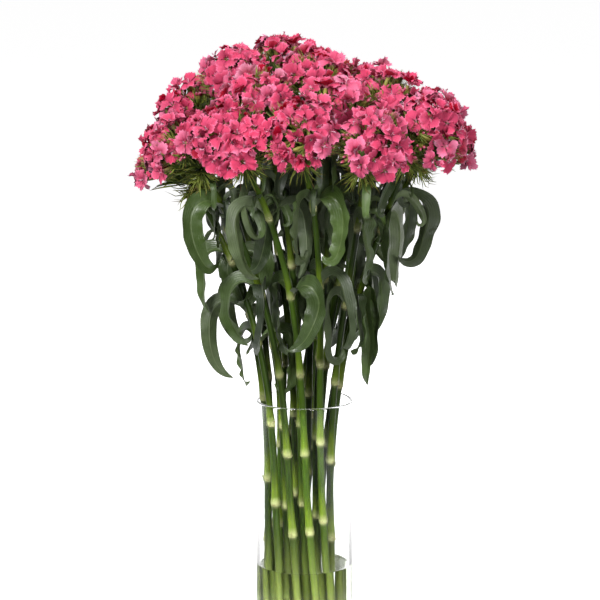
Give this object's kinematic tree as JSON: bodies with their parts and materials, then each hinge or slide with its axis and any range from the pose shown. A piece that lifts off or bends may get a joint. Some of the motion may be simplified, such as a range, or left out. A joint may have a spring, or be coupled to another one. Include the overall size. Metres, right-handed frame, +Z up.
{
  "type": "bunch of sweet william in a glass vase",
  "caption": "Dense domed bunch of cut pink sweet william (dianthus) on long leafy jointed stems, standing in water in a clear straight glass cylinder vase.",
  "frame": {"origin": "centre of the vase's flat base", "axes": "+Z up along the vase's axis, and the bunch's front, as the picture shows it, faces -Y"},
  "size_m": [0.3402, 0.3659, 0.6713],
  "materials": {
    "glass": "clear polished glass",
    "water": "clear water, faintly green from the stems",
    "foliage": "dark green satin leaf with a bluish bloom on the stems",
    "petals": "matt coral pink petals with a pale eye"
  },
  "bodies": {
    "root": {"vase": "glass", "water": "water", "leafy_stem_01": "foliage", "leafy_stem_02": "foliage", "leafy_stem_03": "foliage", "leafy_stem_04": "foliage", "leafy_stem_05": "foliage", "leafy_stem_06": "foliage", "leafy_stem_07": "foliage", "leafy_stem_08": "foliage", "leafy_stem_09": "foliage", "leafy_stem_10": "foliage", "leafy_stem_11": "foliage", "leafy_stem_12": "foliage", "leafy_stem_13": "foliage", "leafy_stem_14": "foliage", "leafy_stem_15": "foliage", "leafy_stem_16": "foliage", "leafy_stem_17": "foliage", "leafy_stem_18": "foliage", "leafy_stem_19": "foliage", "leafy_stem_20": "foliage", "leafy_stem_21": "foliage", "leafy_stem_22": "foliage", "flower_head_01": "petals", "flower_head_02": "petals", "flower_head_03": "petals", "flower_head_04": "petals", "flower_head_05": "petals", "flower_head_06": "petals", "flower_head_07": "petals", "flower_head_08": "petals", "flower_head_09": "petals", "flower_head_10": "petals", "flower_head_11": "petals", "flower_head_12": "petals", "flower_head_13": "petals", "flower_head_14": "petals", "flower_head_15": "petals", "flower_head_16": "petals", "flower_head_17": "petals", "flower_head_18": "petals", "flower_head_19": "petals", "flower_head_20": "petals", "flower_head_21": "petals", "flower_head_22": "petals"}
  },
  "joints": []
}
